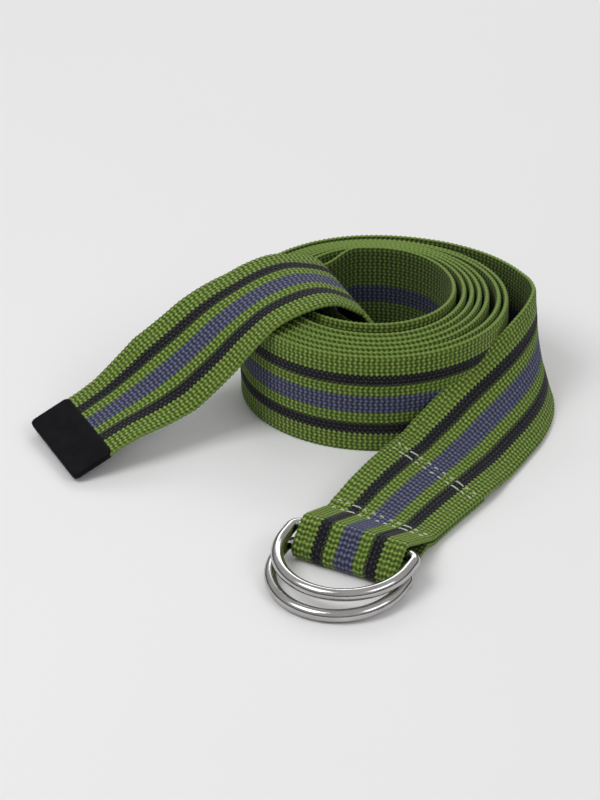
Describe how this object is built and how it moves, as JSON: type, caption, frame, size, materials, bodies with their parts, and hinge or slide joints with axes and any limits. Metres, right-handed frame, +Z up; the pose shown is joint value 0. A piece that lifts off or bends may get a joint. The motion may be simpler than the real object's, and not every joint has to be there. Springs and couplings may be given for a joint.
{
  "type": "stretching strap",
  "caption": "Long striped woven webbing strap wound into a loose coil, with a matte belt tip on its free end and a pair of steel D-rings sewn into the other end.",
  "frame": {"origin": "centre of the strap's footprint on the table plane it lies on, bottom of its bounding box", "axes": "+Z up, +Y to the back away from the rings and the free end, +X to the right; the coil's winding axis is vertical"},
  "size_m": [0.1868, 0.1945, 0.0486],
  "materials": {
    "webbing": "ribbed woven cotton webbing, lengthwise green, black and slate-blue stripes",
    "belt_tip": "matte black",
    "ring_steel": "polished nickel-plated steel wire",
    "thread": "pale green sewing thread"
  },
  "bodies": {
    "coil": {"webbing_coil": "webbing"},
    "free_end": {"webbing_free_end": "webbing", "end_tip": "belt_tip"},
    "ring_end": {"webbing_ring_end": "webbing", "ring_stitch_row_1": "thread", "ring_stitch_row_2": "thread", "flap_stitch_row_1": "thread", "flap_stitch_row_2": "thread"},
    "upper_ring": {"upper_d_ring": "ring_steel"},
    "lower_ring": {"lower_d_ring": "ring_steel"}
  },
  "joints": [
    {"name": "free_end_lift", "type": "hinge", "parent": "coil", "child": "free_end", "pos_m": [0.01713, 0.05353, 0.03935], "axis": [-0.3893, 0.92, 0.0448], "range_deg": [0, 60]},
    {"name": "ring_end_lift", "type": "hinge", "parent": "coil", "child": "ring_end", "pos_m": [0.05571, -0.00943, 0.00985], "axis": [-0.7719, 0.5243, 0.3597], "range_deg": [0, 45]},
    {"name": "upper_ring_swing", "type": "hinge", "parent": "ring_end", "child": "upper_ring", "pos_m": [0.01964, -0.06291, 0.0091], "axis": [-0.8829, 0.4695, 0], "range_deg": [0, 120]},
    {"name": "lower_ring_swing", "type": "hinge", "parent": "ring_end", "child": "lower_ring", "pos_m": [0.01743, -0.06706, 0.00445], "axis": [0.8829, -0.4695, 0], "range_deg": [0, 110]}
  ]
}
